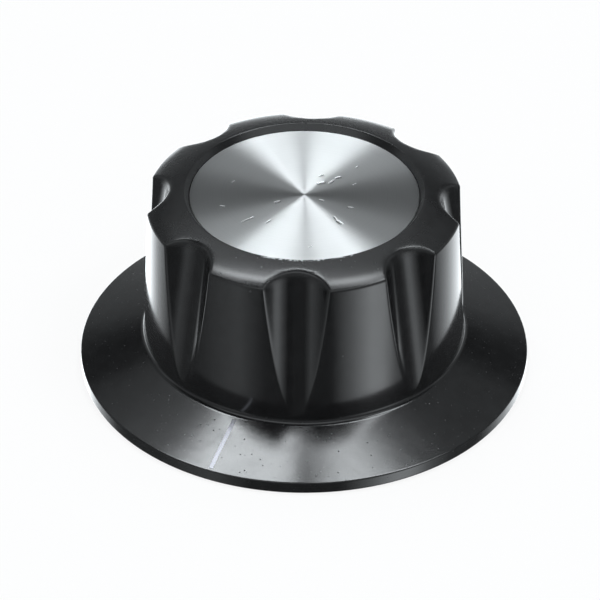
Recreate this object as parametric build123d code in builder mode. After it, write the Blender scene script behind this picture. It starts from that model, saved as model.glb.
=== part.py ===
from build123d import *
import os

# A fluted control knob with a conical skirt, for a quarter-inch shaft. One black moulding
# carries a spun aluminium disc in its crown, a painted index line on its skirt and a brass
# bush in its hub, which a set screw clamps to the shaft.
#
# Frame: millimetres. +Z runs up the shaft's axis, and Z = 0 is the rim's lower face. The
# index line points to -Y, and the set screw comes in from +Y.

os.makedirs("parts", exist_ok=True)

# Skirt: how far it reaches out past the grip's foot, and how much it rises on the way in
skirt_reach = 6.4
skirt_rise = 2.33
skirt_wall = 1.75
rim_height = 1.2

# Grip: its foot on the skirt, and a drafted wall up to the edge of a domed crown
grip_foot_diameter = 31.7
grip_foot_bevel = 0.34
grip_draft = 0.45
crown_height = 19.81
crown_fall = 1.23
crown_edge = 0.35

# Flutes: round-bottomed, deepest at the crown, run out above the foot
flute_count = 8
flute_radius = 4.1
flute_depth = 2.05
flute_run_out = 0.31

# Face disc and its recess, which leaves a land inside the heads of the flutes
crown_land = 1.65
recess_bevel = 0.48
disc_thickness = 0.8
disc_drop = 0.6
disc_clearance = 0.06

# Index line, in a groove down the skirt, a touch off the middle of its lobe
index_width = 0.45
index_depth = 0.2
index_stand = 0.04
index_foot_gap = 0.65
index_rim_gap = 0.3
index_turn_degrees = 1.4

# Hollow underside
grip_wall = 2.4
crown_wall = 2.6
hub_wall = 1.1
hub_draft = 0.4
hub_drop = 1.6
rib_count = 4
rib_thickness = 1.4
rib_drop = 5.0

# Brass bush, bored for the shaft and closed off by the moulding above it
shaft_bore_diameter = 6.4
bore_lead = 0.4
bush_wall = 1.8
bush_stand = 0.3
bush_cap = 2.51

# Set screw across the hub, opposite the index line
screw_diameter = 4.0
screw_length = 6.0
screw_height = 7.2
screw_tip_gap = 0.1
screw_socket = 2.0
screw_socket_depth = 2.4
screw_edge = 0.3
screw_hole_clearance = 0.15
screw_boss_wall = 1.7

# One overrun serves every cut that has to pass clear through a face
overrun = 1.0

# Radii and heights that follow from the sizes above
foot_radius = grip_foot_diameter / 2
skirt_radius = foot_radius + skirt_reach
grip_foot_height = rim_height + skirt_rise
crown_edge_radius = foot_radius - grip_draft
crown_edge_height = crown_height - crown_fall
flute_crown_radius = crown_edge_radius - flute_depth
recess_mouth_radius = flute_crown_radius - crown_land
recess_radius = recess_mouth_radius - recess_bevel
disc_radius = recess_radius - disc_clearance
disc_face_height = crown_height - disc_drop
disc_seat_height = disc_face_height - disc_thickness
ceiling_height = disc_seat_height - crown_wall
shaft_radius = shaft_bore_diameter / 2
bush_radius = shaft_radius + bush_wall
bush_foot_height = hub_drop - bush_stand
bush_top_height = ceiling_height - bush_cap
hub_tip_radius = bush_radius + hub_wall
hub_radius = hub_tip_radius + hub_draft
screw_radius = screw_diameter / 2
screw_hole_radius = screw_radius + screw_hole_clearance
screw_boss_radius = screw_hole_radius + screw_boss_wall
screw_tip_reach = shaft_radius + screw_tip_gap

# Slopes of the skirt and of the grip's drafted wall, as radius lost for each unit of height
skirt_slope = skirt_reach / skirt_rise
wall_draft = grip_draft / (crown_edge_height - grip_foot_height)


def wall_radius(height: float) -> float:
    """Radius of the grip's outer wall at a height."""
    return foot_radius - wall_draft * (height - grip_foot_height)


def skirt_height(radius: float) -> float:
    """Height of the skirt's upper face at a radius."""
    return rim_height + (skirt_radius - radius) / skirt_slope


# The valley of a flute is a straight line from the crown down to where it meets the wall
valley_foot_height = grip_foot_height + grip_foot_bevel + flute_run_out
valley_foot = Vector(wall_radius(valley_foot_height), 0, valley_foot_height)
valley_top = Vector(flute_crown_radius, 0, crown_height)
valley_direction = (valley_top - valley_foot).normalized()
valley_outward = Vector(valley_direction.Z, 0, -valley_direction.X)


def valley_radius(height: float) -> float:
    """Distance of a flute's valley from the axis at a height."""
    return valley_foot.X + (height - valley_foot.Z) * valley_direction.X / valley_direction.Z


# The hollow's wall stays one wall's thickness inside the valleys of the flutes
hollow_foot_radius = valley_radius(valley_foot_height) - grip_wall
hollow_foot_height = skirt_height(hollow_foot_radius) - skirt_wall
hollow_top_radius = valley_radius(ceiling_height) - grip_wall

# The skirt's inside runs parallel to its upper face and leaves a flat land round the rim
hollow_mouth_radius = skirt_radius - (skirt_wall - rim_height - overrun) * skirt_slope

# The index line lies along the skirt's slope, between the grip's foot and the rim
index_inner_radius = foot_radius + index_foot_gap
index_outer_radius = skirt_radius - index_rim_gap
index_middle_radius = (index_inner_radius + index_outer_radius) / 2
index_run = Vector(skirt_slope, 0, -1).normalized()
index_length = (index_outer_radius - index_inner_radius) / index_run.X
index_middle = Vector(index_middle_radius, 0, skirt_height(index_middle_radius))
index_angle = index_turn_degrees - 90
index_plane = Plane(
    origin=index_middle.rotate(Axis.Z, index_angle),
    x_dir=index_run.rotate(Axis.Z, index_angle),
    z_dir=Vector(-index_run.Z, 0, index_run.X).rotate(Axis.Z, index_angle),
)

# The set screw's own plane stands on the shaft's axis and looks out along it
screw_plane = Plane(origin=(0, 0, screw_height), x_dir=(-1, 0, 0), z_dir=(0, 1, 0))

# One flute's cutter: a round bar along the valley line, from just under its foot
with BuildPart() as flute_cutter:
    flute_start = valley_foot + valley_outward * flute_radius - valley_direction * flute_run_out
    with BuildSketch(Plane(origin=flute_start, x_dir=(0, 1, 0), z_dir=valley_direction)):
        Circle(flute_radius)
    extrude(amount=(valley_top - valley_foot).length + flute_run_out + flute_radius)

# The bush before boring, which is also the seat that it leaves in the moulding
with BuildPart() as bush_blank:
    with BuildSketch(Plane.XY.offset(bush_foot_height)):
        Circle(bush_radius)
    extrude(amount=bush_top_height - bush_foot_height)

# The mould's core, which leaves the hollow underside: the skirt's inside and a ring round the
# hub, with slots for the ribs and for the set screw's boss
with BuildPart() as mould_core:
    with BuildSketch(Plane.XZ):
        with BuildLine():
            Polyline(
                (0, -overrun),
                (hollow_mouth_radius, -overrun),
                (hollow_foot_radius, hollow_foot_height),
                (hollow_top_radius, ceiling_height),
                (hub_radius, ceiling_height),
                (hub_tip_radius, hub_drop),
                (0, hub_drop),
                close=True,
            )
        make_face()
    revolve(axis=Axis.Z)
    with BuildSketch(Plane.XY.offset(rib_drop)):
        with PolarLocations(foot_radius / 2, rib_count):
            Rectangle(foot_radius, rib_thickness)
    extrude(amount=ceiling_height - rib_drop + overrun, mode=Mode.SUBTRACT)
    with BuildSketch(screw_plane):
        Circle(screw_boss_radius)
        Rectangle(
            2 * screw_boss_radius,
            ceiling_height - screw_height + overrun,
            align=(Align.CENTER, Align.MIN),
        )
    extrude(amount=foot_radius, mode=Mode.SUBTRACT)

# The moulding: rim, skirt, grip and crown turned about the axis
with BuildPart() as knob_body:
    with BuildSketch(Plane.XZ) as section:
        with BuildLine():
            Polyline(
                (recess_mouth_radius, crown_height),
                (0, crown_height),
                (0, 0),
                (skirt_radius, 0),
                (skirt_radius, rim_height),
                (foot_radius, grip_foot_height),
                (crown_edge_radius, crown_edge_height),
            )
            TangentArc(
                (recess_mouth_radius, crown_height),
                (crown_edge_radius, crown_edge_height),
                tangent=(1, 0),
            )
        make_face()
        foot_corner, crown_corner = section.vertices().group_by(Axis.Y)[2:4]
        chamfer(foot_corner, grip_foot_bevel)
        chamfer(crown_corner, crown_edge)
    revolve(axis=Axis.Z)

    # Flutes
    with PolarLocations(0, flute_count, start_angle=180 / flute_count):
        add(flute_cutter.part, mode=Mode.SUBTRACT)

    # Recess in the crown for the face disc, with a bevelled mouth
    with BuildSketch(Plane.XZ):
        with BuildLine():
            Polyline(
                (0, disc_seat_height),
                (recess_radius, disc_seat_height),
                (recess_radius, disc_face_height),
                (recess_mouth_radius, crown_height),
                (recess_mouth_radius, crown_height + overrun),
                (0, crown_height + overrun),
                close=True,
            )
        make_face()
    revolve(axis=Axis.Z, mode=Mode.SUBTRACT)

    # Hollow underside, the bush's seat in the hub and the way in for the set screw
    add(mould_core.part, mode=Mode.SUBTRACT)
    add(bush_blank.part, mode=Mode.SUBTRACT)
    with BuildSketch(screw_plane):
        Circle(screw_hole_radius)
    extrude(amount=foot_radius + overrun, mode=Mode.SUBTRACT)

    # Groove for the index line
    with BuildSketch(index_plane):
        SlotOverall(index_length, index_width)
    extrude(amount=-index_depth, mode=Mode.SUBTRACT)

# Pale paint that fills the groove and stands a little proud of the skirt
with BuildPart() as index_line:
    with BuildSketch(index_plane.offset(-index_depth)):
        SlotOverall(index_length, index_width)
    extrude(amount=index_depth + index_stand)

# Spun aluminium disc, glued down in the recess
with BuildPart() as face_disc:
    with BuildSketch(Plane.XY.offset(disc_seat_height)):
        Circle(disc_radius)
    extrude(amount=disc_thickness)

# Brass bush: bored through for the shaft and tapped across for the set screw
with BuildPart() as shaft_bush:
    add(bush_blank.part)
    with BuildSketch(Plane.XY.offset(bush_foot_height)):
        Circle(shaft_radius)
    extrude(amount=bush_top_height - bush_foot_height, mode=Mode.SUBTRACT)
    bore_mouth = shaft_bush.faces().sort_by(Axis.Z)[0].inner_wires()[0].edges()
    chamfer(bore_mouth, bore_lead)
    with BuildSketch(screw_plane):
        Circle(screw_radius)
    extrude(amount=bush_radius + overrun, mode=Mode.SUBTRACT)

# Flat-point set screw with a hexagon socket, its point just clear of the shaft's bore
with BuildPart() as set_screw:
    with BuildSketch(screw_plane.offset(screw_tip_reach)):
        Circle(screw_radius)
    extrude(amount=screw_length)
    chamfer(set_screw.edges().filter_by(GeomType.CIRCLE), screw_edge)
    with BuildSketch(screw_plane.offset(screw_tip_reach + screw_length)):
        RegularPolygon(screw_socket / 2, 6, major_radius=False)
    extrude(amount=-screw_socket_depth, mode=Mode.SUBTRACT)

knob_body.part.label = "knob_body"
export_step(knob_body.part, "parts/knob_body.step")
face_disc.part.label = "face_disc"
export_step(face_disc.part, "parts/face_disc.step")
index_line.part.label = "index_line"
export_step(index_line.part, "parts/index_line.step")
shaft_bush.part.label = "shaft_bush"
export_step(shaft_bush.part, "parts/shaft_bush.step")
set_screw.part.label = "set_screw"
export_step(set_screw.part, "parts/set_screw.step")
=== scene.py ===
"""A fluted control knob on a plain pale floor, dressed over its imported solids."""

import logging
import math
from dataclasses import dataclass, replace
from enum import Enum
from typing import Any, Callable, Iterable, Mapping, Sequence

import bpy
from mathutils import Matrix, Vector


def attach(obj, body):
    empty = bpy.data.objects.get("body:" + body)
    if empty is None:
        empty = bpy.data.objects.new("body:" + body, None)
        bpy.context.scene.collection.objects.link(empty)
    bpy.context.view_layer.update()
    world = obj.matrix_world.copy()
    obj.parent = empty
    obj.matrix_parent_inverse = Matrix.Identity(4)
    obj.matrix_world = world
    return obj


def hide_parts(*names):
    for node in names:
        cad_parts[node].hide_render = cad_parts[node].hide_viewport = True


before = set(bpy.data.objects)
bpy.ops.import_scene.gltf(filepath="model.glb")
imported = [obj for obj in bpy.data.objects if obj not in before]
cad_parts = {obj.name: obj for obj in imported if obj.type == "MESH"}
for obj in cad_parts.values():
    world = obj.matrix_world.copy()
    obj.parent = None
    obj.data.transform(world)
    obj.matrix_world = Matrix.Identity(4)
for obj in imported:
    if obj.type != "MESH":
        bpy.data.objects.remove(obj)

log = logging.getLogger("knob")

MM = 0.001
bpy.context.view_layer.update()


class Slot(Enum):
    """The record's material slots, one named for each new piece."""

    PHENOLIC = "phenolic"
    ALUMINIUM = "spun_aluminium"
    PAINT = "index_paint"


class Side(Enum):
    """Which side of the moulding's wall a run of its section lies on."""

    OUTSIDE = 0.0
    INSIDE = 1.0


class Step(Enum):
    """How a step rises from 0 to 1."""

    SMOOTH = "SMOOTHSTEP"
    STRAIGHT = "LINEAR"


# Node trees


def forwards(operation: str) -> Callable[["Wire", "Wire | float"], "Wire"]:
    """An operator with the wire as its first value."""
    return lambda wire, other: wire.maths(operation, other)


def backwards(operation: str) -> Callable[["Wire", float], "Wire"]:
    """An operator with the wire as its second value."""
    return lambda wire, other: wire.bench.maths(operation, other, wire)


class Wire:
    """One output of a node, which takes part in sums."""

    def __init__(self, bench: "Bench", node: bpy.types.Node, output: str | int = 0) -> None:
        """Keeps hold of an output.

        Args:
            bench: The bench that the node is on.
            node: The node.
            output: The output's name or number.
        """
        self.bench = bench
        self.node = node
        self.output = output

    def out(self, output: str | int) -> "Wire":
        """Another output of the same node."""
        return Wire(self.bench, self.node, output)

    def maths(self, operation: str, *others: "Wire | float") -> "Wire":
        """A Math node that starts from this wire."""
        return self.bench.maths(operation, self, *others)

    __add__ = __radd__ = forwards("ADD")
    __mul__ = __rmul__ = forwards("MULTIPLY")
    __sub__ = forwards("SUBTRACT")
    __rsub__ = backwards("SUBTRACT")
    __truediv__ = forwards("DIVIDE")
    __rtruediv__ = backwards("DIVIDE")
    __pow__ = forwards("POWER")
    __gt__ = forwards("GREATER_THAN")
    __lt__ = forwards("LESS_THAN")

    def __neg__(self) -> "Wire":
        """Opposite."""
        return self * -1.0


class Bench:
    """A node tree under construction."""

    def __init__(self, tree: bpy.types.NodeTree) -> None:
        """Takes a tree and clears it."""
        self.tree = tree
        self.tree.nodes.clear()

    def node(
        self,
        kind: str,
        settings: Mapping[str, Any] | None = None,
        inputs: Mapping[str | int, Any] | None = None,
    ) -> Wire:
        """Adds a node, sets it, then feeds its sockets.

        Args:
            kind: The node's type.
            settings: Its own properties; "stops" holds a ramp's (place, colour) pairs.
            inputs: Values or wires by socket name or number.

        Returns:
            The node's first output.
        """
        node = self.tree.nodes.new(kind)
        for name, value in (settings or {}).items():
            if name == "stops":
                self._set_stops(node.color_ramp, value)
            else:
                setattr(node, name, value)
        for key, value in (inputs or {}).items():
            self.feed(node.inputs[key], value)
        return Wire(self, node)

    @staticmethod
    def _set_stops(ramp: bpy.types.ColorRamp, stops: Sequence[tuple[float, tuple]]) -> None:
        """Gives a ramp its stops in order.

        Args:
            ramp: The ramp.
            stops: Place and colour of each stop.
        """
        while len(ramp.elements) < len(stops):
            ramp.elements.new(1.0)
        for element, (place, colour) in zip(ramp.elements, stops):
            element.position = place
            element.color = colour

    def feed(self, socket: bpy.types.NodeSocket, value: Any) -> None:
        """Links a wire to a socket, or sets a plain value on it.

        Args:
            socket: The input socket.
            value: A wire or a value.
        """
        if isinstance(value, Wire):
            self.tree.links.new(value.node.outputs[value.output], socket)
        else:
            socket.default_value = value

    def maths(self, operation: str, *values: "Wire | float") -> Wire:
        """A Math node on values in order."""
        return self.node("ShaderNodeMath", {"operation": operation}, dict(enumerate(values)))

    def split(self, vector: Wire) -> tuple[Wire, Wire, Wire]:
        """The three numbers of a vector."""
        parts = self.node("ShaderNodeSeparateXYZ", inputs={0: vector})
        return parts, parts.out(1), parts.out(2)

    def join(self, x: Any, y: Any, z: Any) -> Wire:
        """A vector from three numbers."""
        return self.node("ShaderNodeCombineXYZ", inputs={0: x, 1: y, 2: z})

    def length(self, x: Wire, y: Wire) -> Wire:
        """Length of the long side over two sides at a right angle."""
        return (x * x + y * y).maths("SQRT")

    def ramp(self, value: Wire, low: float, high: float, step: Step = Step.SMOOTH) -> Wire:
        """A step from 0 at low to 1 at high."""
        sockets = {"Value": value, "From Min": low, "From Max": high}
        return self.node("ShaderNodeMapRange", {"interpolation_type": step.value}, sockets)

    def window(self, value: Wire, first: tuple, second: tuple) -> Wire:
        """One between two smooth steps, each given by where it is 0 and where it is 1."""
        return self.ramp(value, *first) * self.ramp(value, *second)

    def waves(self, along: Wire, scale: float, detail: float) -> Wire:
        """Noise along one measure, from 0 to 1."""
        sockets = {"W": along, "Scale": scale, "Detail": detail}
        return self.node("ShaderNodeTexNoise", {"noise_dimensions": "1D"}, sockets)


def stand(name: str, data: bpy.types.ID) -> bpy.types.Object:
    """Puts a new object in the scene.

    Args:
        name: Its name.
        data: Its mesh, lamp or camera.

    Returns:
        The object, at the origin.
    """
    thing = bpy.data.objects.new(name, data)
    bpy.context.scene.collection.objects.link(thing)
    return thing


class GeometryBench(Bench):
    """A Geometry Nodes tree whose named inputs hold the sizes of a piece."""

    KINDS = {
        float: "NodeSocketFloat",
        int: "NodeSocketInt",
        Vector: "NodeSocketVector",
        bpy.types.Material: "NodeSocketMaterial",
    }

    def __init__(self, name: str, sizes: Mapping[str, Any]) -> None:
        """Starts a tree.

        Args:
            name: The tree's name.
            sizes: Each named input with the value that it gets on the modifier.
        """
        super().__init__(bpy.data.node_groups.new(name, "GeometryNodeTree"))
        face = self.tree.interface
        face.new_socket("Geometry", in_out="INPUT", socket_type="NodeSocketGeometry")
        face.new_socket("Geometry", in_out="OUTPUT", socket_type="NodeSocketGeometry")
        self.values: dict[str, Any] = {}
        for title, value in sizes.items():
            kind = next(text for type_, text in self.KINDS.items() if isinstance(value, type_))
            socket = face.new_socket(title, in_out="INPUT", socket_type=kind)
            self.values[socket.identifier] = value
        self.entry = self.node("NodeGroupInput")

    def size(self, title: str) -> Wire:
        """The wire of a named input."""
        return self.entry.out(title)

    def place(self) -> tuple[Wire, Wire, Wire]:
        """A point's own place."""
        return self.split(self.node("GeometryNodeInputPosition"))

    def named(self, kind: str, name: str) -> Wire:
        """A named attribute of a data type."""
        return self.node("GeometryNodeInputNamedAttribute", {"data_type": kind}, {"Name": name})

    def open_edges(self) -> Wire:
        """One on the edges that have fewer than two faces."""
        return self.node("GeometryNodeInputMeshEdgeNeighbors") < 1.5

    def moved(self, geometry: Wire, **sockets: Any) -> Wire:
        """A geometry with a Translation, Rotation or Scale as a whole."""
        return self.node("GeometryNodeTransform", inputs={"Geometry": geometry} | sockets)

    def put(self, geometry: Wire, **sockets: Any) -> Wire:
        """A geometry whose points, or a Selection of them, get a Position or an Offset."""
        return self.node("GeometryNodeSetPosition", inputs={"Geometry": geometry} | sockets)

    def drawn(self, mesh: Wire, way: Wire, reach: Wire, **sockets: Any) -> Wire:
        """A mesh with its edges, or a Selection of them, drawn out a reach along a way."""
        sockets = {"Mesh": mesh, "Offset": way, "Offset Scale": reach} | sockets
        return self.node("GeometryNodeExtrudeMesh", {"mode": "EDGES"}, sockets)

    def line(self, start: Any, end: Any) -> Wire:
        """A straight line between two places."""
        sockets = {"Start": start, "End": end}
        return self.node("GeometryNodeCurvePrimitiveLine", {"mode": "POINTS"}, sockets)

    def swept(self, path: Wire, profile: Wire) -> Wire:
        """A solid with a profile all along a path."""
        sockets = {"Curve": path, "Profile Curve": profile, "Fill Caps": True}
        return self.node("GeometryNodeCurveToMesh", inputs=sockets)

    def finish(self, geometry: Wire) -> None:
        """Ends the tree in Realize Instances and Set Material.

        Args:
            geometry: What the tree has made.
        """
        real = self.node("GeometryNodeRealizeInstances", inputs={"Geometry": geometry})
        sockets = {"Geometry": real, "Material": self.size("Material")}
        dressed = self.node("GeometryNodeSetMaterial", inputs=sockets)
        self.node("NodeGroupOutput", inputs={"Geometry": dressed})

    def bake(self, name: str, seed_mesh: bpy.types.Mesh) -> bpy.types.Object:
        """Runs the tree on a mesh and keeps the result as a plain mesh.

        Args:
            name: The piece's name.
            seed_mesh: The mesh that the tree starts from.

        Returns:
            The piece's object, at the origin, with no modifier.
        """
        seed = stand(name + "_seed", seed_mesh)
        modifier = seed.modifiers.new("Rule", "NODES")
        modifier.node_group = self.tree
        for identifier, value in self.values.items():
            modifier[identifier] = list(value) if isinstance(value, Vector) else value
        seed.update_tag()
        graph = bpy.context.evaluated_depsgraph_get()
        graph.update()
        mesh = bpy.data.meshes.new_from_object(seed.evaluated_get(graph), depsgraph=graph)
        mesh.name = name
        seed.modifiers.remove(modifier)
        bpy.data.objects.remove(seed)
        return stand(name, mesh)


class Lathe(GeometryBench):
    """A tree that turns a line of section points about the axis."""

    WELD = 0.0005 * MM
    CREASE = 0.6

    def spread(self, columns: Wire) -> Wire:
        """Lays out a grid with one point for each row of the section in each column.

        Args:
            columns: How many columns go round the axis.

        Returns:
            The column that a point is in.
        """
        self.section = self.size("Geometry")
        count = self.node("GeometryNodeAttributeDomainSize", inputs={"Geometry": self.section})
        rows = count.out("Point Count")
        sockets = {"Vertices X": columns + 1.0, "Vertices Y": rows}
        self.grid = self.node("GeometryNodeMeshGrid", inputs=sockets)
        index = self.node("GeometryNodeInputIndex")
        column = ((index + 0.5) / rows).maths("FLOOR")
        self.row = index - column * rows
        return column

    def read(self, kind: str, value: Wire) -> Wire:
        """A value of the section, of a data type, at a point's own row."""
        sockets = {"Geometry": self.section, "Value": value, "Index": self.row}
        return self.node("GeometryNodeSampleIndex", {"data_type": kind}, sockets)

    def station(self) -> tuple[Wire, Wire]:
        """Radius and height of a point's row."""
        place = self.split(self.read("FLOAT_VECTOR", self.node("GeometryNodeInputPosition")))
        return place[0], place[2]

    def mark(self, kind: str, name: str) -> Wire:
        """A named attribute of a point's row."""
        return self.read(kind, self.named(kind, name))

    def skin(self, radius: Wire, turn: Wire, height: Wire, side: Wire | None = None) -> Wire:
        """Moves the grid's points to their places round the axis and closes the seam.

        Args:
            radius: Distance of a point from the axis.
            turn: Its angle round the axis.
            height: Its height.
            side: A mark that the skin keeps under the name of "side".

        Returns:
            The turned skin.
        """
        place = self.join(radius * turn.maths("COSINE"), radius * turn.maths("SINE"), height)
        skin = self.put(self.grid, Position=place)
        if side is not None:
            skin = self.node(
                "GeometryNodeStoreNamedAttribute",
                {"data_type": "FLOAT", "domain": "POINT"},
                {"Geometry": skin, "Name": "side", "Value": side},
            )
        sockets = {"Geometry": skin, "Distance": self.WELD}
        return self.node("GeometryNodeMergeByDistance", inputs=sockets)

    def shaded(self, geometry: Wire) -> Wire:
        """Shades a skin smooth, apart from its sharp edges.

        Args:
            geometry: The skin.

        Returns:
            The shaded skin.
        """
        smooth = self.node("GeometryNodeSetShadeSmooth", {"domain": "FACE"}, {"Geometry": geometry})
        sharp = self.node("GeometryNodeInputMeshEdgeAngle") > self.CREASE
        return self.node(
            "GeometryNodeSetShadeSmooth",
            {"domain": "EDGE"},
            {"Geometry": smooth, "Selection": sharp, "Shade Smooth": False},
        )


def ready(piece: bpy.types.Object, slot: Slot, *nodes: str) -> None:
    """Fixes a piece to the knob's one body and reports it.

    Args:
        piece: The finished piece.
        slot: The record slot that matches its finish; not used.
        nodes: The solids that it stands for.
    """
    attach(piece, "root")
    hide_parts(*nodes)
    piece.data.calc_loop_triangles()
    triangles = len(piece.data.loop_triangles)
    log.info("%s: %d triangles, for %s", piece.name, triangles, ", ".join(nodes))


# Finishes


class Coat(Bench):
    """A material's node tree round one Principled shader."""

    def __init__(self, name: str, constants: Mapping[str, Any]) -> None:
        """Starts a material.

        Args:
            name: The material's name.
            constants: Shader sockets whose value is the same all over.
        """
        self.material = bpy.data.materials.new(name)
        self.material.use_nodes = True
        super().__init__(self.material.node_tree)
        shader = self.node("ShaderNodeBsdfPrincipled", inputs=constants)
        self.sockets = shader.node.inputs
        self.node("ShaderNodeOutputMaterial", inputs={"Surface": shader})
        self.place = self.node("ShaderNodeTexCoord").out("Object")

    def noise(self, scale: float, detail: float = 2.0, **inputs: Any) -> Wire:
        """Fractal noise over the piece.

        Args:
            scale: Waves per metre.
            detail: Octaves.
            inputs: Any other socket of the node, or its Vector.

        Returns:
            The noise, from 0 to 1.
        """
        sockets = {"Vector": self.place, "Scale": scale, "Detail": detail} | inputs
        return self.node("ShaderNodeTexNoise", inputs=sockets)

    def patches(self, scale: float, detail: float, low: float, high: float, **inputs: Any) -> Wire:
        """Soft-edged patches: zero where the noise is under low, one where it is over high."""
        return self.ramp(self.noise(scale, detail, **inputs), low, high)

    def specks(self, scale: float, share: float, size: float) -> Wire:
        """Scattered specks, one in some of the cells of a random pattern.

        Args:
            scale: Cells per metre.
            share: Share of the cells that hold a speck.
            size: Radius of a speck in cells.

        Returns:
            One inside a speck, zero elsewhere.
        """
        sockets = {"Vector": self.place, "Scale": scale}
        cells = self.node("ShaderNodeTexVoronoi", inputs=sockets)
        held = self.node("ShaderNodeSeparateColor", inputs={0: cells.out("Color")}) < share
        return held * (1.0 - self.ramp(cells.out("Distance"), 0.5 * size, size))

    def mix(self, factor: Wire, first: Any, second: Any) -> Wire:
        """The first colour with a share of the second; each is a colour or its wire."""
        sockets = {0: factor, 6: first, 7: second}
        return self.node("ShaderNodeMix", {"data_type": "RGBA"}, sockets).out(2)

    def paint(self, colour: Wire, rough: Wire) -> None:
        """Feeds the shader's colour and roughness."""
        self.feed(self.sockets["Base Color"], colour)
        self.feed(self.sockets["Roughness"], rough)

    def bump(self, height: Wire, strength: float, distance: float) -> None:
        """Feeds a height to the shader's normal.

        Args:
            height: The height over the surface.
            strength: How strongly it counts.
            distance: The height of 1, in metres.
        """
        sockets = {"Strength": strength, "Distance": distance, "Height": height}
        self.feed(self.sockets["Normal"], self.node("ShaderNodeBump", inputs=sockets))


@dataclass(frozen=True)
class Phenolic:
    """Black moulded resin, polished by its mould, pitted on the skirt and duller on the crown.

    Each pair of heights, radii or slopes is where a zone is 0 and where it is 1. The painted
    glints are pale specks on the front of the recess's mouth, on the side towards the camera,
    standing in for light caught on its edge.
    """

    colour: tuple = (0.007, 0.007, 0.0073, 1.0)
    grey: tuple = (0.012, 0.012, 0.0125, 1.0)
    dust_colour: tuple = (0.2, 0.2, 0.2, 1.0)
    # Painted glints: a pale colour on the camera side of the recess's mouth, standing in for light
    # caught on its edge.
    glint_colour: tuple = (0.62, 0.63, 0.64, 1.0)
    gloss: float = 0.1
    skirt_heights: tuple = (4.2 * MM, 3.4 * MM)
    skirt_wear: float = 0.04
    crown_heights: tuple = (18.2 * MM, 18.7 * MM)
    crown_wear: float = 0.14
    grit_wear: float = 0.35
    underside_slopes: tuple = (-0.15, -0.35)
    underside_wear: float = 0.3
    glint_radii: tuple = ((11.62 * MM, 11.67 * MM), (11.96 * MM, 11.82 * MM))
    glint_heights: tuple = (19.4 * MM, 19.6 * MM)
    glint_middle: float = math.radians(-64.0)
    glint_spread: tuple = (0.9, 0.96)

    def painted_glints(self, coat: Coat, x: Wire, y: Wire, height: Wire) -> Wire:
        """Where the painted glints lie: pale specks that stand in for light caught on the mouth's
        edge.

        Args:
            coat: The material.
            x, y, height: A place of the surface.

        Returns:
            One on a fleck, zero elsewhere.
        """
        radius = coat.length(x, y)
        front = (x * math.cos(self.glint_middle) + y * math.sin(self.glint_middle)) / radius
        painted_glints = coat.patches(scale=3600.0, detail=2.0, low=0.48, high=0.55)
        painted_glints = painted_glints * coat.window(radius, *self.glint_radii)
        return painted_glints * coat.ramp(front, *self.glint_spread) * coat.ramp(height, *self.glint_heights)

    def material(self) -> bpy.types.Material:
        """Builds the material.

        Returns:
            The material.
        """
        coat = Coat("black_phenolic", {"IOR": 1.68})
        x, y, height = coat.split(coat.place)
        skirt = coat.ramp(height, *self.skirt_heights)
        crown = coat.ramp(height, *self.crown_heights)
        facing = coat.split(coat.node("ShaderNodeTexCoord").out("Normal"))[2]
        mottle = coat.patches(scale=900.0, detail=4.0, low=0.35, high=0.7)
        smear = coat.patches(scale=140.0, detail=3.0, low=0.45, high=0.75, Distortion=0.6)
        grain = coat.noise(scale=5200.0, detail=3.0)
        peel = coat.noise(scale=700.0)
        flow = coat.noise(scale=230.0, Distortion=0.8)
        dust = coat.specks(scale=620.0, share=0.1, size=0.045)
        grit = coat.specks(scale=2300.0, share=0.5, size=0.12)
        pits = coat.specks(scale=1400.0, share=0.75, size=0.12) * (0.2 + 0.8 * skirt)
        colour = coat.mix(mottle * 0.7, self.colour, self.grey)
        colour = coat.mix(dust * 0.6, colour, self.dust_colour)
        # Painted glints: pale specks on the front of the mouth stand in for light caught on its edge.
        colour = coat.mix(self.painted_glints(coat, x, y, height), colour, self.glint_colour)
        worn = self.skirt_wear * skirt + self.crown_wear * crown + self.grit_wear * grit * skirt
        worn = worn + self.underside_wear * coat.ramp(facing, *self.underside_slopes)
        rough = self.gloss + worn + 0.04 * smear + 0.04 * grain + 0.4 * pits + 0.3 * dust
        coat.paint(colour, rough)
        relief = 0.6 * peel + 0.16 * grain - 1.4 * pits + 3.5 * flow * skirt
        coat.bump(relief, strength=0.5, distance=0.006 * MM)
        return coat.material


@dataclass(frozen=True)
class Nick:
    """A short dent in a flat face: its two ends, its width and its depth, in millimetres."""

    start: tuple
    end: tuple
    width: float
    depth: float


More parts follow.
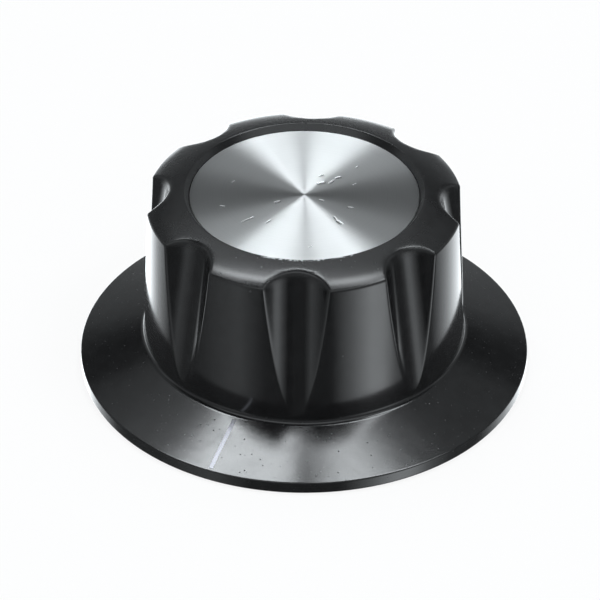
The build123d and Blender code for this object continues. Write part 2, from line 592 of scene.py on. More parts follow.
@dataclass(frozen=True)
class SpunAluminium:
    """Aluminium finished by a tool on the lathe, so its marks run round the middle."""

    colour: tuple = (0.94, 0.95, 0.95, 1.0)
    dark: tuple = (0.86, 0.87, 0.87, 1.0)
    gloss: float = 0.34
    ring_waves: float = 9000.0
    ring_height: float = 0.0008 * MM
    band_waves: float = 1300.0
    nick_shine: float = 0.12
    nick_full_depth: float = 0.02 * MM
    nicks: tuple = (
        Nick((-1.95, -2.42), (-1.72, -2.12), 0.24, 0.031),
        Nick((4.78, -0.14), (5.1, -0.08), 0.24, 0.031),
        Nick((4.8, -2.7), (5.25, -2.9), 0.26, 0.036),
        Nick((4.2, -2.2), (4.5, -2.45), 0.16, 0.020),
        Nick((-3.4, -6.7), (-2.8, -5.55), 0.14, 0.017),
        Nick((-1.25, -5.9), (-1.1, -5.4), 0.18, 0.017),
        Nick((0.4, 2.25), (0.8, 2.68), 0.3, 0.031),
        Nick((0.0, 3.5), (0.2, 3.8), 0.3, 0.021),
        Nick((1.38, 2.83), (1.5, 3.4), 0.2, 0.025),
        Nick((1.6, 3.9), (1.85, 4.25), 0.24, 0.025),
        Nick((1.7, -0.17), (2.05, -0.15), 0.16, 0.028),
        Nick((3.58, 3.55), (3.7, 3.8), 0.14, 0.020),
        Nick((2.58, 6.4), (2.63, 6.62), 0.14, 0.020),
        Nick((-6.5, -5.22), (-6.1, -5.13), 0.12, 0.017),
        Nick((-7.25, -1.15), (-7.17, -0.87), 0.12, 0.021),
        Nick((4.15, -7.72), (4.34, -7.5), 0.14, 0.021),
    )

    def dent(self, coat: Coat, x: Wire, y: Wire, nick: Nick) -> Wire:
        """How deep a nick is at a place of the face.

        Args:
            coat: The material.
            x, y: The place.
            nick: The nick.

        Returns:
            Its depth in metres, zero away from it.
        """
        start, end = Vector(nick.start) * MM, Vector(nick.end) * MM
        run = (end - start).normalized()
        x, y = x - start.x, y - start.y
        along = x * run.x + y * run.y
        along = along.maths("MAXIMUM", 0.0).maths("MINIMUM", (end - start).length)
        apart = coat.length(x - along * run.x, y - along * run.y)
        return coat.ramp(apart, nick.width * MM, 0.0) * nick.depth * MM

    def material(self) -> bpy.types.Material:
        """Builds the material.

        Returns:
            The material.
        """
        constants = {"Metallic": 1.0, "Anisotropic": 1.0, "Anisotropic Rotation": 0.25}
        coat = Coat("spun_aluminium", constants)
        x, y, _ = coat.split(coat.place)
        radius = coat.length(x, y)
        rings = coat.waves(radius, self.ring_waves, detail=3.0)
        bands = coat.waves(radius, self.band_waves, detail=3.0)
        dents = self.dent(coat, x, y, self.nicks[0])
        for nick in self.nicks[1:]:
            dents = dents.maths("MAXIMUM", self.dent(coat, x, y, nick))
        shine = self.nick_shine * coat.ramp(dents, 0.0, self.nick_full_depth)
        dull = coat.patches(scale=260.0, detail=4.0, low=0.45, high=0.75)
        colour = coat.mix(coat.ramp(rings, 0.35, 0.75) * 0.5, self.colour, self.dark)
        coat.paint(colour, self.gloss + 0.03 * bands + 0.03 * rings + 0.02 * dull - shine)
        coat.bump(rings * self.ring_height - dents, strength=1.0, distance=1.0)
        return coat.material


@dataclass(frozen=True)
class IndexPaint:
    """Pale paint wiped into the index groove, thinner towards the grip."""

    colour: tuple = (0.8, 0.8, 0.88, 1.0)
    thin: tuple = (0.15, 0.15, 0.17, 1.0)
    thin_share: float = 0.9
    full_radii: tuple = (17.2 * MM, 19.0 * MM)
    patch_reach: float = 2.0 * MM

    def material(self) -> bpy.types.Material:
        """Builds the material.

        Returns:
            The material.
        """
        coat = Coat("index_paint", {"IOR": 1.48})
        x, y, _ = coat.split(coat.place)
        patch = coat.noise(scale=1500.0, detail=3.0)
        full = coat.ramp(coat.length(x, y) + self.patch_reach * patch, *self.full_radii)
        colour = coat.mix((1.0 - full) * self.thin_share, self.colour, self.thin)
        coat.paint(colour, 0.4 + 0.2 * patch)
        coat.bump(coat.noise(scale=4000.0), strength=0.4, distance=0.01 * MM)
        return coat.material


@dataclass(frozen=True)
class TurnedMetal:
    """A turned metal with fine tool marks along one axis and a little stain."""

    name: str
    colour: tuple
    stain_colour: tuple
    gloss: float
    waves: Vector

    def material(self) -> bpy.types.Material:
        """Builds the material.

        Returns:
            The material.
        """
        coat = Coat(self.name, {"Metallic": 1.0})
        sockets = {"Vector": coat.place, "Scale": self.waves}
        marks = coat.noise(scale=1.0, Vector=coat.node("ShaderNodeMapping", inputs=sockets))
        stain = coat.patches(scale=450.0, detail=4.0, low=0.45, high=0.75)
        colour = coat.mix(stain * 0.5, self.colour, self.stain_colour)
        coat.paint(colour, self.gloss + 0.14 * stain + 0.08 * marks)
        coat.bump(marks, strength=0.3, distance=0.006 * MM)
        return coat.material


BRASS = TurnedMetal(
    "bush_brass", (0.72, 0.5, 0.2, 1.0), (0.36, 0.22, 0.09, 1.0), 0.24, Vector((200, 200, 9000))
)
STEEL = TurnedMetal(
    "screw_steel", (0.16, 0.16, 0.17, 1.0), (0.07, 0.06, 0.055, 1.0), 0.34, Vector((200, 7000, 200))
)


# Turned sections


@dataclass
class Corner:
    """A corner of a turned section.

    Args:
        radius: Distance from the axis, in millimetres.
        height: Height above the rim's lower face, in millimetres.
        round: Radius of the corner, zero for a sharp one.
        pitch: Longest step of the run that leads to the next corner.
        side: The side of the wall that this run is on.
        cut: Whether a flute may cut this run.
    """

    radius: float
    height: float
    round: float = 0.0
    pitch: float = 2.0
    side: Side = Side.OUTSIDE
    cut: bool = False


@dataclass
class Station:
    """One row of a turned piece: a point of its section and how a flute meets it there."""

    radius: float
    height: float
    side: Side
    cut: bool


def rounded(corners: Sequence[Corner], steps: int = 6, support: float = 0.07) -> list[Station]:
    """Walks round a section, rounds its corners and divides its runs.

    Args:
        corners: The section's corners in order.
        steps: Divisions of a rounded corner.
        support: Length of the short step beside each corner, which keeps the run flat.

    Returns:
        The rows.
    """
    points: list[tuple[Vector, Corner]] = []
    for index, corner in enumerate(corners):
        here = Vector((corner.radius, corner.height))
        inner = 0 < index < len(corners) - 1
        if not inner or not corner.round:
            points.append((here, corner))
            continue
        lead, following = corners[index - 1], corners[index + 1]
        back = (Vector((lead.radius, lead.height)) - here).normalized()
        on = (Vector((following.radius, following.height)) - here).normalized()
        turn = math.pi - back.angle(on)
        reach = corner.round * math.tan(turn / 2)
        middle = here + (back + on).normalized() * (corner.round / math.cos(turn / 2))
        start, end = here + back * reach - middle, here + on * reach - middle
        swing = start.angle_signed(end)
        for step in range(steps + 1):
            spoke = Matrix.Rotation(-swing * (step / steps), 2) @ start
            points.append((middle + spoke, corner if step == steps else replace(lead, round=1.0)))
    rows: list[Station] = []
    for (here, corner), (there, following) in zip(points, points[1:]):
        run = there - here
        rows.append(Station(here.x, here.y, corner.side, corner.cut))
        if run.length < 4 * support:
            continue
        first = support if corner.round else 0.0
        last = run.length - (support if following.round else 0.0)
        count = max(1, math.ceil((last - first) / corner.pitch))
        for step in range(count + 1):
            along = first + (last - first) * step / count
            if 0.0 < along < run.length:
                spot = here + run.normalized() * along
                rows.append(Station(spot.x, spot.y, corner.side, corner.cut))
    final, corner = points[-1]
    rows.append(Station(final.x, final.y, corner.side, corner.cut))
    return rows


def section_line(name: str, rows: Sequence[Station]) -> bpy.types.Mesh:
    """Strings the rows of a section on a line of edges.

    Args:
        name: The mesh's name.
        rows: The rows in order.

    Returns:
        The line, in metres.
    """
    mesh = bpy.data.meshes.new(name)
    points = [(row.radius * MM, 0.0, row.height * MM) for row in rows]
    mesh.from_pydata(points, [(k, k + 1) for k in range(len(points) - 1)], [])
    return mesh


# Moulding


@dataclass
class Moulding:
    """The black moulding: skirt, fluted grip, domed crown and hollow underside, in millimetres."""

    MARKS = ("soft", "cut", "side", "edge_in", "edge_out")

    skirt_radius: float = 22.24
    rim_height: float = 1.2
    rim_edge: float = 0.14
    skirt_wall: float = 1.75
    foot_radius: float = 15.85
    foot_height: float = 3.53
    foot_round: float = 0.6
    crown_edge_radius: float = 15.4
    crown_edge_height: float = 18.62
    crown_edge_round: float = 0.35
    crown_height: float = 19.81
    dome_start: float = math.radians(9.0)
    dome_bend: float = math.radians(18.0)
    dome_bend_radius: float = 14.1
    dome_pitch: float = 0.22
    dome_least_share: float = 0.22
    dome_spread: float = 1.2
    flute_count: int = 8
    flute_radius: float = 3.65
    flute_crown_radius: float = 13.2
    flute_foot_height: float = 4.18
    flute_fade: float = 0.6
    lobe_edge_round: float = 0.55
    lobe_edge_least: float = 0.04
    recess_mouth_radius: float = 11.7
    recess_mouth_round: float = 0.2
    recess_radius: float = 11.22
    seat_height: float = 18.41
    disc_face_height: float = 19.21
    grip_wall: float = 2.4
    ceiling_height: float = 15.81
    hub_radius: float = 6.5
    hub_tip_radius: float = 6.1
    hub_height: float = 1.6
    bush_radius: float = 5.0
    bush_top: float = 13.3
    rib_count: int = 4
    rib_thickness: float = 1.4
    rib_height: float = 5.0
    rib_round: float = 0.25
    rib_overlap: float = 1.0
    rib_wall_share: float = 0.8
    hole_radius: float = 2.15
    hole_height: float = 7.2
    hole_side: float = 8.0
    hole_snap: float = 0.3
    hole_slack: float = 0.004
    hole_inner_gap: float = 0.8
    hole_lip: float = 0.1
    boss_radius: float = 3.85
    boss_depth: float = 7.0
    boss_draft: float = 0.14
    boss_overlap: float = 0.5
    core_radius: float = 9.5
    core_height: float = 14.5
    columns_per_flute: int = 60
    edge_least: float = math.radians(1.6)
    edge_band: float = math.radians(1.9)
    edge_inner_share: float = 0.45
    edge_columns: tuple = (0.4, 0.76)

    def wall_radius(self, height: float) -> float:
        """Radius of the grip's drafted wall at a height."""
        share = (height - self.foot_height) / (self.crown_edge_height - self.foot_height)
        return self.foot_radius + share * (self.crown_edge_radius - self.foot_radius)

    def valley_radius(self, height: float) -> float:
        """Distance of a flute's valley from the axis at a height."""
        level, foot = self.flute_foot_height, self.wall_radius(self.flute_foot_height)
        return foot + (height - level) / (self.crown_height - level) * (self.flute_crown_radius - foot)

    def skirt_height(self, radius: float) -> float:
        """Height of the skirt's upper face at a radius."""
        share = (self.skirt_radius - radius) / (self.skirt_radius - self.foot_radius)
        return self.rim_height + share * (self.foot_height - self.rim_height)

    def softness(self, height: float) -> float:
        """How widely wall and flute blend, for a lobe edge of one radius.

        Args:
            height: The height on the grip.

        Returns:
            The distance over which they blend.
        """
        level = min(height, self.crown_edge_height)
        wall, bar = self.wall_radius(level), self.flute_radius
        middle = self.valley_radius(level) + bar
        cosine = (middle**2 - wall**2 - bar**2) / (2 * wall * bar)
        return max(self.lobe_edge_least, self.lobe_edge_round * (1 / min(cosine, 1.0) - 1))

    def flute_edge(self, row: Station, halvings: int = 40) -> float:
        """Half the angle that a flute takes up in a row.

        Args:
            row: The row.
            halvings: How often the search halves the angle.

        Returns:
            The angle from the flute's middle to its edge, in radians.
        """
        foot = Vector((self.wall_radius(self.flute_foot_height), self.flute_foot_height))
        crown = Vector((self.flute_crown_radius, self.crown_height))
        lean = (crown - foot).normalized()
        face = Vector((lean.y, -lean.x))
        axis = foot + face * self.flute_radius
        low, high = 0.0, math.pi / self.flute_count
        for _ in range(halvings):
            angle = (low + high) / 2
            spot = Vector((row.radius * math.cos(angle), row.height)) - axis
            inside = spot.dot(face) ** 2 + (row.radius * math.sin(angle)) ** 2
            low, high = (angle, high) if inside < self.flute_radius**2 else (low, angle)
        return max(low, self.edge_least)

    def dome(self) -> Iterable[Corner]:
        """The crown's arc, from the recess's mouth out to the edge of the wall.

        Returns:
            Its points, closest together round the heads of the flutes.
        """
        spot = Vector((self.recess_mouth_radius, self.crown_height))
        start, bend = self.dome_start, self.dome_bend
        inner = (self.dome_bend_radius - spot.x) / (math.sin(bend) - math.sin(start))
        edge = Vector((self.crown_edge_radius, self.crown_edge_height))
        knee = Vector((self.dome_bend_radius, spot.y - inner * (math.cos(start) - math.cos(bend))))
        end = 2 * math.atan2(knee.y - edge.y, edge.x - knee.x) - bend
        outer = (edge.x - knee.x) / (math.sin(end) - math.sin(bend))
        pitch = self.dome_pitch
        radius = spot.x + pitch
        while radius < edge.x - 2 * pitch:
            low, origin, bow = (start, spot, inner) if radius < knee.x else (bend, knee, outer)
            turn = math.asin(math.sin(low) + (radius - origin.x) / bow)
            height = origin.y - bow * (math.cos(low) - math.cos(turn))
            yield Corner(radius, height, cut=True)
            apart = abs(radius - self.flute_crown_radius - pitch)
            radius += pitch * min(1.0, max(self.dome_least_share, self.dome_spread * apart))

    def section(self) -> list[Station]:
        """Walks the moulding's section, from the middle of its recess round to its bush seat.

        Returns:
            The rows.
        """
        slope = (self.skirt_radius - self.foot_radius) / (self.foot_height - self.rim_height)
        land = self.skirt_radius - (self.skirt_wall - self.rim_height) * slope
        hollow_foot = self.valley_radius(self.flute_foot_height) - self.grip_wall
        hollow_foot_height = self.skirt_height(hollow_foot) - self.skirt_wall
        hollow_top = self.valley_radius(self.ceiling_height) - self.grip_wall
        mouth_round, edge_round = self.recess_mouth_round, self.crown_edge_round
        outside = [
            Corner(0.0, self.seat_height, pitch=12.0),
            Corner(self.recess_radius, self.seat_height),
            Corner(self.recess_radius, self.disc_face_height, round=0.05),
            Corner(self.recess_mouth_radius, self.crown_height, mouth_round, cut=True),
            *self.dome(),
            Corner(self.crown_edge_radius, self.crown_edge_height, edge_round, pitch=0.3, cut=True),
            Corner(self.foot_radius, self.foot_height, self.foot_round, pitch=0.8),
            Corner(self.skirt_radius, self.rim_height, self.rim_edge),
            Corner(self.skirt_radius, 0.0, round=0.15),
        ]
        inside = [
            Corner(land, 0.0, pitch=8.0),
            Corner(hollow_foot, hollow_foot_height, pitch=0.9),
            Corner(hollow_top, self.ceiling_height, pitch=8.0),
            Corner(self.hub_radius, self.ceiling_height, pitch=8.0),
            Corner(self.hub_tip_radius, self.hub_height, round=0.2),
            Corner(self.bush_radius, self.hub_height, pitch=12.0),
            Corner(self.bush_radius, self.bush_top, pitch=12.0),
            Corner(0.0, self.bush_top, pitch=12.0),
        ]
        return rounded(outside + [replace(corner, side=Side.INSIDE) for corner in inside])

    def seed(self) -> bpy.types.Mesh:
        """Strings the section on a line and marks how a flute meets each row.

        Returns:
            The line.
        """
        rows = self.section()
        mesh = section_line("moulding_section", rows)
        values: dict[str, list[float]] = {name: [] for name in self.MARKS}
        cores: list[float] = []
        for row in rows:
            level = min(row.height, self.core_height)
            cores += (self.core_radius * MM, 0.0, level * MM) if row.cut else (-MM, 0.0, 0.0)
            fade = (row.height - self.foot_height - self.foot_round) / self.flute_fade
            edge = self.flute_edge(row) if row.cut else self.edge_least
            values["soft"].append(self.softness(row.height) * MM)
            values["cut"].append(max(0.0, min(1.0, fade)) if row.cut else 0.0)
            values["side"].append(row.side.value)
            values["edge_in"].append(max(edge - self.edge_band, self.edge_inner_share * edge))
            values["edge_out"].append(edge + self.edge_band)
        mesh.attributes.new("core", "FLOAT_VECTOR", "POINT").data.foreach_set("vector", cores)
        for name, numbers in values.items():
            mesh.attributes.new(name, "FLOAT", "POINT").data.foreach_set("value", numbers)
        return mesh

    def turned(self, bench: Lathe) -> Wire:
        """Turns the section about the axis and lets the flutes cut it.

        A row's points slide along their own ray from the core to the nearer of the turned
        section and the flute's round bar, with a soft meeting between the two.

        Args:
            bench: The tree.

        Returns:
            The turned and fluted skin.
        """
        column = bench.spread(bench.size("Flutes") * bench.size("Columns per flute"))
        radius, height = bench.station()
        core_radius, _, core_height = bench.split(bench.mark("FLOAT_VECTOR", "core"))
        soft, cut, side, edge_in, edge_out = (bench.mark("FLOAT", name) for name in self.MARKS)

        # Columns crowd round the edges of the flutes
        sector = math.tau / bench.size("Flutes")
        step = column / bench.size("Columns per flute")
        flute = (step - 0.5).maths("ROUND")
        share = step - 0.5 - flute
        away = share.maths("ABSOLUTE") * 2.0
        first, last = self.edge_columns
        swing = edge_in * bench.ramp(away, 0.0, first, Step.STRAIGHT)
        swing = swing + (edge_out - edge_in) * bench.ramp(away, first, last, Step.STRAIGHT)
        swing = swing + (0.5 * sector - edge_out) * bench.ramp(away, last, 1.0, Step.STRAIGHT)
        swing = swing * share.maths("SIGN")
        turn = -(swing + (flute + 0.5) * sector)
        cosine, sine = swing.maths("COSINE"), swing.maths("SINE")

        # A point's ray from the core, and the bar's own axis and face
        out, up = radius - core_radius, height - core_height
        reach = bench.length(out, up)
        out, up = out / reach, up / reach
        foot_radius, _, foot_height = bench.split(bench.size("Valley foot"))
        crown_radius, _, crown_height = bench.split(bench.size("Valley crown"))
        lean, rise = crown_radius - foot_radius, crown_height - foot_height
        length = bench.length(lean, rise)
        face_out, face_up = rise / length, -lean / length

        # Where the ray meets the bar
        bar = bench.size("Flute radius")
        near = (core_radius * cosine - foot_radius) * face_out
        near = near + (core_height - foot_height) * face_up - bar
        across = core_radius * sine
        run, drift = out * cosine * face_out + up * face_up, out * sine
        square = run * run + drift * drift
        half = near * run + across * drift
        rest = near * near + across * across - bar * bar
        inside = half * half - square * rest
        meets = inside > 0.0
        hit = (-half - inside.maths("MAXIMUM", 0.0).maths("SQRT")) / square
        hit = hit * meets + (1.0 - meets)
        carved = bench.maths("SMOOTH_MIN", reach, hit, soft)
        reach = reach + cut * (carved - reach)
        return bench.skin(core_radius + out * reach, turn, core_height + up * reach, side)

    def drilled(self, bench: Lathe, skin: Wire) -> Wire:
        """Opens the set screw's way in, at the back of the grip, and gives it its wall.

        Args:
            bench: The tree.
            skin: The turned skin.

        Returns:
            The skin with its hole.
        """
        hole, level = bench.size("Hole radius"), bench.size("Hole height")
        x, y, z = bench.place()
        drop = z - level
        apart = bench.length(x, drop)
        inside = bench.named("FLOAT", "side")
        outside = inside < 0.5
        behind = y > self.hole_side * MM
        near = ((apart - hole).maths("ABSOLUTE") < self.hole_snap * MM) * behind * outside
        pull = hole / apart
        moved = x * pull
        depth = (x * x + y * y - moved * moved).maths("SQRT")
        spot = bench.join(moved, depth, level + drop * pull)
        snapped = bench.put(skin, Selection=near, Position=spot)
        within = (apart < hole - self.hole_slack * MM) * outside
        within = within + (apart < hole + self.hole_inner_gap * MM) * inside
        opened = bench.node(
            "GeometryNodeDeleteGeometry",
            {"domain": "FACE"},
            {"Geometry": snapped, "Selection": within * behind},
        )
        lip = bench.open_edges() * behind * outside * (apart < hole + self.hole_lip * MM)
        inwards = bench.join(0.0, -1.0, 0.0)
        return bench.drawn(opened, inwards, bench.size("Hole depth"), Selection=lip)

    def ribs(self, bench: Lathe) -> Wire:
        """The ribs between hub and grip, round-edged bars under the ceiling.

        Args:
            bench: The tree.

        Returns:
            The ribs as instances.
        """
        sockets = {"Width": bench.size("Rib thickness"), "Height": bench.size("Rib depth")}
        bar = bench.node("GeometryNodeCurvePrimitiveQuadrilateral", inputs=sockets)
        sockets = {"Curve": bar, "Count": 3, "Radius": self.rib_round * MM, "Limit Radius": True}
        soft = bench.node("GeometryNodeFilletCurve", {"mode": "POLY"}, sockets)
        start = Vector((self.hub_tip_radius * MM, 0.0, 0.0))
        reach = self.foot_radius * MM - self.grip_wall * MM * self.rib_wall_share
        solid = bench.swept(bench.line(start, Vector((reach, 0.0, 0.0))), soft)
        raised = bench.moved(solid, Translation=bench.join(0.0, 0.0, bench.size("Rib middle")))
        sockets = {"Count": self.rib_count, "Offset": (0.0, 0.0, 0.0)}
        spots = bench.node("GeometryNodeMeshLine", inputs=sockets)
        index = bench.node("GeometryNodeInputIndex")
        spin = bench.join(0.0, 0.0, index * (math.tau / self.rib_count))
        sockets = {"Points": spots, "Instance": raised, "Rotation": spin}
        return bench.node("GeometryNodeInstanceOnPoints", inputs=sockets)

    def boss(self, bench: Lathe) -> Wire:
        """The arch-shaped boss round the set screw, from the hub out to the grip's wall.

        Args:
            bench: The tree.

        Returns:
            The boss.
        """
        radius, rise = bench.size("Boss radius"), bench.size("Boss rise")
        half = math.pi
        sockets = {"Resolution": 40, "Radius": radius, "Start Angle": half, "Sweep Angle": half}
        arch = bench.node("GeometryNodeCurveArc", {"mode": "RADIUS"}, sockets)
        upright = bench.moved(arch, Rotation=(math.pi / 2, 0.0, 0.0))
        cheeks = bench.node("GeometryNodeCurveToMesh", inputs={"Curve": upright})
        shell = bench.drawn(cheeks, bench.join(0.0, 1.0, 0.0), bench.size("Boss depth"))
        x, y, z = bench.place()
        flanks = bench.open_edges() * (x.maths("ABSOLUTE") > radius * 0.9999)
        tall = bench.drawn(shell, bench.join(0.0, 0.0, 1.0), rise, Selection=flanks)
        lean = bench.join(0.0, (rise - z) * bench.size("Draft"), 0.0)
        slant = bench.put(tall, Selection=y > 1.0 * MM, Offset=lean)
        spot = bench.join(0.0, bench.size("Boss start"), bench.size("Hole height"))
        return bench.moved(slant, Translation=spot)

    def build(self, material: bpy.types.Material) -> None:
        """Makes the moulding.

        Args:
            material: Its finish.
        """
        foot = self.wall_radius(self.flute_foot_height)
        rib_top = self.ceiling_height + self.rib_overlap
        boss_top = self.ceiling_height + self.boss_overlap
        bench = Lathe(
            "fluted_moulding",
            {
                "Flutes": self.flute_count,
                "Columns per flute": self.columns_per_flute,
                "Flute radius": self.flute_radius * MM,
                "Valley foot": Vector((foot, 0.0, self.flute_foot_height)) * MM,
                "Valley crown": Vector((self.flute_crown_radius, 0.0, self.crown_height)) * MM,
                "Hole radius": self.hole_radius * MM,
                "Hole height": self.hole_height * MM,
                "Hole depth": (self.foot_radius - self.bush_radius) * MM,
                "Rib thickness": self.rib_thickness * MM,
                "Rib depth": (rib_top - self.rib_height) * MM,
                "Rib middle": (rib_top + self.rib_height) * MM / 2,
                "Boss radius": self.boss_radius * MM,
                "Boss start": self.bush_radius * MM,
                "Boss depth": self.boss_depth * MM,
                "Draft": self.boss_draft,
                "Boss rise": (boss_top - self.hole_height) * MM,
                "Material": material,
            },
        )
        skin = self.drilled(bench, self.turned(bench))
        parts = bench.node("GeometryNodeJoinGeometry")
        for part in (skin, self.ribs(bench), self.boss(bench)):
            bench.feed(parts.node.inputs[0], part)
        bench.finish(bench.shaded(parts))
        ready(bench.bake("moulding", self.seed()), Slot.PHENOLIC, "knob_body")


# Face disc, index line and shaft fixing


@dataclass
class FaceDisc:
    """The spun disc in the crown, in millimetres."""

    radius: float = 11.16
    seat_height: float = 18.41
    face_height: float = 19.21
    edge_round: float = 0.06
    columns: int = 480

    def seed(self) -> bpy.types.Mesh:
        """Strings the disc's section, from the middle of its face to that of its seat.

        Returns:
            The line.
        """
        corners = [
            Corner(0.0, self.face_height, pitch=3.0),
            Corner(self.radius, self.face_height, self.edge_round),
            Corner(self.radius, self.seat_height),
            Corner(0.0, self.seat_height),
        ]
        return section_line("disc_section", rounded(corners, steps=4))

    def build(self, material: bpy.types.Material) -> None:
        """Makes the disc.

        Args:
            material: Its finish.
        """
        bench = Lathe("turned_disc", {"Columns": self.columns, "Material": material})
        column = bench.spread(bench.size("Columns"))
        radius, height = bench.station()
        turn = -column * math.tau / bench.size("Columns")
        bench.finish(bench.shaded(bench.skin(radius, turn, height)))
        ready(bench.bake("face_plate", self.seed()), Slot.ALUMINIUM, "face_disc")


@dataclass
class IndexLine:
    """The painted line down the skirt, wiped on by hand, in millimetres."""

    inner_radius: float = 16.5
    outer_radius: float = 21.95
    width: float = 0.42
    stand: float = 0.04
    turn: float = math.radians(1.4 - 90.0)
    points: int = 90
    sides: int = 16
    wobble_waves: float = 17.0
    end_bluntness: float = 24.0

    def build(self, skirt: Moulding, material: bpy.types.Material) -> None:
        """Makes the line.

        Args:
            skirt: The moulding that it lies on.
            material: Its finish.
        """
        inner, outer = (
            Vector((radius, 0.0, skirt.skirt_height(radius))) * MM
            for radius in (self.inner_radius, self.outer_radius)
        )
        bench = GeometryBench(
            "index_line",
            {
                "Inner end": inner,
                "Outer end": outer,
                "Width": self.width * MM,
                "Stand": self.stand * MM,
                "Turn": self.turn,
                "Material": material,
            },
        )
        path = bench.line(bench.size("Inner end"), bench.size("Outer end"))
        sockets = {"Curve": path, "Count": self.points}
        run = bench.node("GeometryNodeResampleCurve", {"mode": "COUNT"}, sockets)
        along = bench.node("GeometryNodeSplineParameter").out("Factor")
        wobble = bench.waves(along, self.wobble_waves, detail=2.0)
        ends = (2.0 * along - 1.0).maths("ABSOLUTE") ** self.end_bluntness
        swell = 0.55 + 0.3 * bench.ramp(along, 0.0, 0.5) + 0.3 * wobble
        sockets = {"Curve": run, "Radius": (1.0 - ends).maths("SQRT") * swell}
        stroke = bench.node("GeometryNodeSetCurveRadius", inputs=sockets)
        sockets = {"Resolution": self.sides, "Radius": 1.0}
        bead = bench.node("GeometryNodeCurvePrimitiveCircle", inputs=sockets)
        scale = bench.join(bench.size("Width") * 0.5, bench.size("Stand"), 1.0)
        ribbon = bench.swept(stroke, bench.moved(bead, Scale=scale))
        bench.finish(bench.moved(ribbon, Rotation=bench.join(0.0, 0.0, bench.size("Turn"))))
        piece = bench.bake("index_stroke", bpy.data.meshes.new("index_seed"))
        ready(piece, Slot.PAINT, "index_line")


@dataclass
class ShaftFixing:
    """The brass bush in the hub and the set screw across it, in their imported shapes."""

    bush: str = "shaft_bush"
    screw: str = "set_screw"

    def dress(self, brass: bpy.types.Material, steel: bpy.types.Material) -> None:
        """Gives both solids their finish.

        Args:
            brass: The bush's finish.
            steel: The screw's finish.
        """
        for node, material in ((self.bush, brass), (self.screw, steel)):
            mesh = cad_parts[node].data
            if not mesh.materials:
                mesh.materials.append(material)
            for index in range(len(mesh.materials)):
                mesh.materials[index] = material
            log.info("%s: packed solid, dressed in %s", node, material.name)


# Studio


@dataclass
class Softbox:
    """An overhead lamp behind a square of white cloth.

    Args:
        name: The lamp's name.
        left, right: Its edges, as side offset over height, seen from the camera.
        near, far: Its front and back edges in the same measure.
        glow: Radiance of its cloth.
        mirrored: Whether polished surfaces show it.
    """

    name: str
    left: float
    right: float
    near: float
    far: float
    glow: float
    mirrored: bool = True


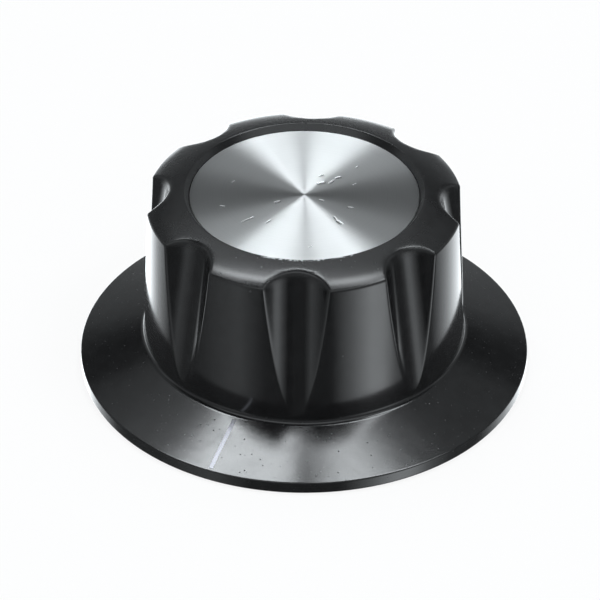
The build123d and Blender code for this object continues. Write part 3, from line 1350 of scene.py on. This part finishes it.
@dataclass
class Studio:
    """Floor, lamps, world and camera. Angles are in degrees, lengths in millimetres.

    The world's pairs are where a step is 0 and where it is 1. A lift is the upward part of a
    direction; a side or a back is its part that way over its lift, and the cards stand at
    angles from the camera's own heading.
    """

    azimuth: float = 25.3
    elevation: float = 36.16
    distance: float = 370.8
    middle_height: float = 6.675
    aim_right: float = -0.416
    aim_height: float = 6.548
    roll: float = 0.11
    sensor: float = 36.0
    focal_share: float = 3749.56 / 600.0
    lamp_height: float = 600.0
    floor_radius: float = 2500.0
    floor_hole: float = 21.6
    floor_sides: int = 96
    floor_colour: tuple = (0.9, 0.9, 0.9, 1.0)
    floor_white: float = 0.85
    boxes: tuple = (
        Softbox("left_box", -0.5, -0.025, 0.125, 0.3, 10.2),
        Softbox("right_box", 0.055, 0.42, 0.015, 0.225, 8.2),
        Softbox("right_wing", 0.5, 0.8, -0.4, 0.1, 5.6),
        Softbox("left_glow", -0.34, -0.12, 1.05, 1.25, 0.6),
        Softbox("right_glow", 0.12, 0.34, 1.05, 1.25, 0.6),
        Softbox("front_card", -1.6, 1.6, -1.5, -0.6, 0.9),
        Softbox("fill_cloth", -0.8, 0.8, -0.8, 0.8, 0.75, False),
    )
    tint: tuple = (0.95, 1.0, 1.03)
    room_tone: float = 0.03
    least_lift: float = 0.02
    ceiling_tone: float = 0.2
    ceiling_backs: tuple = ((1.14, 0.98), (0.2, 0.36))
    ceiling_lift: tuple = (0.0, 0.12)
    spill_tone: float = 0.46
    spill_sides: tuple = ((0.42, 0.12), (-0.8, -0.3))
    sweep_tone: float = 0.25
    sweep_lifts: tuple = ((0.47, 0.3), (-0.06, 0.0))
    card_glow: float = 4.0
    card_lifts: tuple = ((0.0, -0.12), (-0.82, -0.68))
    card_shade: float = 0.5
    card_shade_lift: tuple = (-0.5, -0.4)
    card_shade_right: tuple = (0.0, 0.2)
    cards: tuple = (
        (-180, 1.0), (-152, 1.0), (-132, 0.33), (-112, 0.02), (-80, 0.03), (-47, 0.115), (-28, 0.02),
        (20, 0.012), (34, 0.23), (49, 0.57), (58, 0.51), (68, 0.16), (80, 0.04), (104, 0.02),
        (124, 0.3), (138, 0.56), (180, 1.0),
    )

    def turn(self) -> Matrix:
        """Turn from the camera's own heading to the knob's frame."""
        return Matrix.Rotation(math.radians(self.azimuth), 4, "Z")

    def camera(self) -> None:
        """Sets the camera where the photograph was taken from."""
        data = bpy.data.cameras.new("camera")
        data.sensor_width = self.sensor
        data.lens = self.sensor * self.focal_share
        data.clip_start, data.clip_end = 0.01, 20.0
        camera = stand("camera", data)
        lift = math.radians(self.elevation)
        spot = Vector((0.0, -math.cos(lift), math.sin(lift))) * self.distance
        spot.z += self.middle_height
        aim = Vector((self.aim_right, 0.0, self.aim_height))
        look = (aim - spot).to_track_quat("-Z", "Y").to_matrix().to_4x4()
        look = look @ Matrix.Rotation(math.radians(self.roll), 4, "Z")
        camera.matrix_world = self.turn() @ Matrix.Translation(spot * MM) @ look
        bpy.context.scene.camera = camera

    def lamps(self) -> None:
        """Hangs the softboxes over the knob."""
        for box in self.boxes:
            data = bpy.data.lights.new(box.name, "AREA")
            data.shape = "RECTANGLE"
            data.size = (box.right - box.left) * self.lamp_height * MM
            data.size_y = (box.far - box.near) * self.lamp_height * MM
            data.energy = box.glow * math.pi * data.size * data.size_y
            data.color = self.tint
            lamp = stand(box.name, data)
            lamp.visible_glossy = box.mirrored
            spot = Vector(((box.left + box.right) / 2, (box.near + box.far) / 2, 1.0))
            spot *= self.lamp_height * MM
            lamp.matrix_world = self.turn() @ Matrix.Translation(spot)

    def heading(self, bench: Bench, way: Wire) -> tuple[Wire, Wire, Wire]:
        """Turns a direction to the camera's own heading.

        Args:
            bench: The tree.
            way: The direction.

        Returns:
            Its parts to the right, to the back and up.
        """
        x, y, up = bench.split(way)
        turn = math.radians(self.azimuth)
        right = x * math.cos(turn) + y * math.sin(turn)
        back = y * math.cos(turn) - x * math.sin(turn)
        return right, back, up

    def world(self) -> None:
        """A dim room with a ceiling lit up round the boxes and a pale sweep low down.

        The floor is hidden from reflections, so what they show below the horizon is the
        world's lower half: pale and dark cards that stand round the knob.
        """
        world = bpy.data.worlds.new("room")
        world.use_nodes = True
        bpy.context.scene.world = world
        bench = Bench(world.node_tree)
        view = bench.node("ShaderNodeTexCoord").out("Generated")
        right, back, up = self.heading(bench, view)
        lift = up.maths("MAXIMUM", self.least_lift)
        spill = self.spill_tone * bench.window(right / lift, *self.spill_sides)
        ceiling = bench.window(back / lift, *self.ceiling_backs) * bench.ramp(up, *self.ceiling_lift)
        ceiling = ceiling * (self.ceiling_tone + spill)
        sweep = self.sweep_tone * bench.window(up, *self.sweep_lifts)
        stops = [(angle / 360.0 + 0.5, (tone, tone, tone, 1.0)) for angle, tone in self.cards]
        round_share = right.maths("ARCTAN2", -back) / math.tau + 0.5
        cards = bench.node("ShaderNodeValToRGB", {"stops": stops}, {0: round_share})
        shade = bench.ramp(up, *self.card_shade_lift) * bench.ramp(right, *self.card_shade_right)
        low = cards * self.card_glow * bench.window(up, *self.card_lifts)
        low = low * (1.0 - self.card_shade * shade)
        tone = self.room_tone + ceiling + sweep + low
        colour = bench.join(*(tone * share for share in self.tint))
        glow = bench.node("ShaderNodeBackground", inputs={"Color": colour, "Strength": 1.0})
        bench.node("ShaderNodeOutputWorld", inputs={"Surface": glow})

    def paper(self) -> bpy.types.Material:
        """Builds the floor's material, near white to the camera and clear from below.

        Returns:
            The material.
        """
        material = bpy.data.materials.new("pale_floor")
        material.use_nodes = True
        bench = Bench(material.node_tree)
        path = bench.node("ShaderNodeLightPath")
        seen = path.out("Is Camera Ray").maths("MAXIMUM", path.out("Is Transmission Ray"))
        matt = bench.node("ShaderNodeBsdfDiffuse", inputs={"Color": self.floor_colour})
        white = bench.node("ShaderNodeEmission", inputs={"Strength": 1.0})
        sockets = {0: self.floor_white * seen, 1: matt, 2: white}
        pale = bench.node("ShaderNodeMixShader", inputs=sockets)
        below = bench.node("ShaderNodeNewGeometry").out("Backfacing")
        clear = bench.node("ShaderNodeBsdfTransparent")
        both = bench.node("ShaderNodeMixShader", inputs={0: below, 1: pale, 2: clear})
        bench.node("ShaderNodeOutputMaterial", inputs={"Surface": both})
        return material

    def floor(self) -> None:
        """A wide pale floor, open under the knob and hidden from reflections."""
        mesh = bpy.data.meshes.new("floor")
        count = self.floor_sides
        turns = [k * math.tau / count for k in range(count)]
        points = [
            (math.cos(turn) * reach * MM, math.sin(turn) * reach * MM, 0.0)
            for reach in (self.floor_hole, self.floor_radius)
            for turn in turns
        ]
        faces = [(k, count + k, count + (k + 1) % count, (k + 1) % count) for k in range(count)]
        mesh.from_pydata(points, [], faces)
        mesh.materials.append(self.paper())
        floor = stand("floor", mesh)
        floor.visible_glossy = False

    def build(self) -> None:
        """Sets the whole studio."""
        self.camera()
        self.lamps()
        self.world()
        self.floor()
        bpy.context.scene.view_settings.view_transform = "Standard"
        log.info("studio ready")


def main() -> None:
    """Builds the studio and the knob, piece by piece."""
    logging.basicConfig(level=logging.INFO, format="%(message)s")
    Studio().build()
    moulding = Moulding()
    moulding.build(Phenolic().material())
    FaceDisc().build(SpunAluminium().material())
    IndexLine().build(moulding, IndexPaint().material())
    ShaftFixing().dress(BRASS.material(), STEEL.material())


if __name__ == "__main__":
    main()
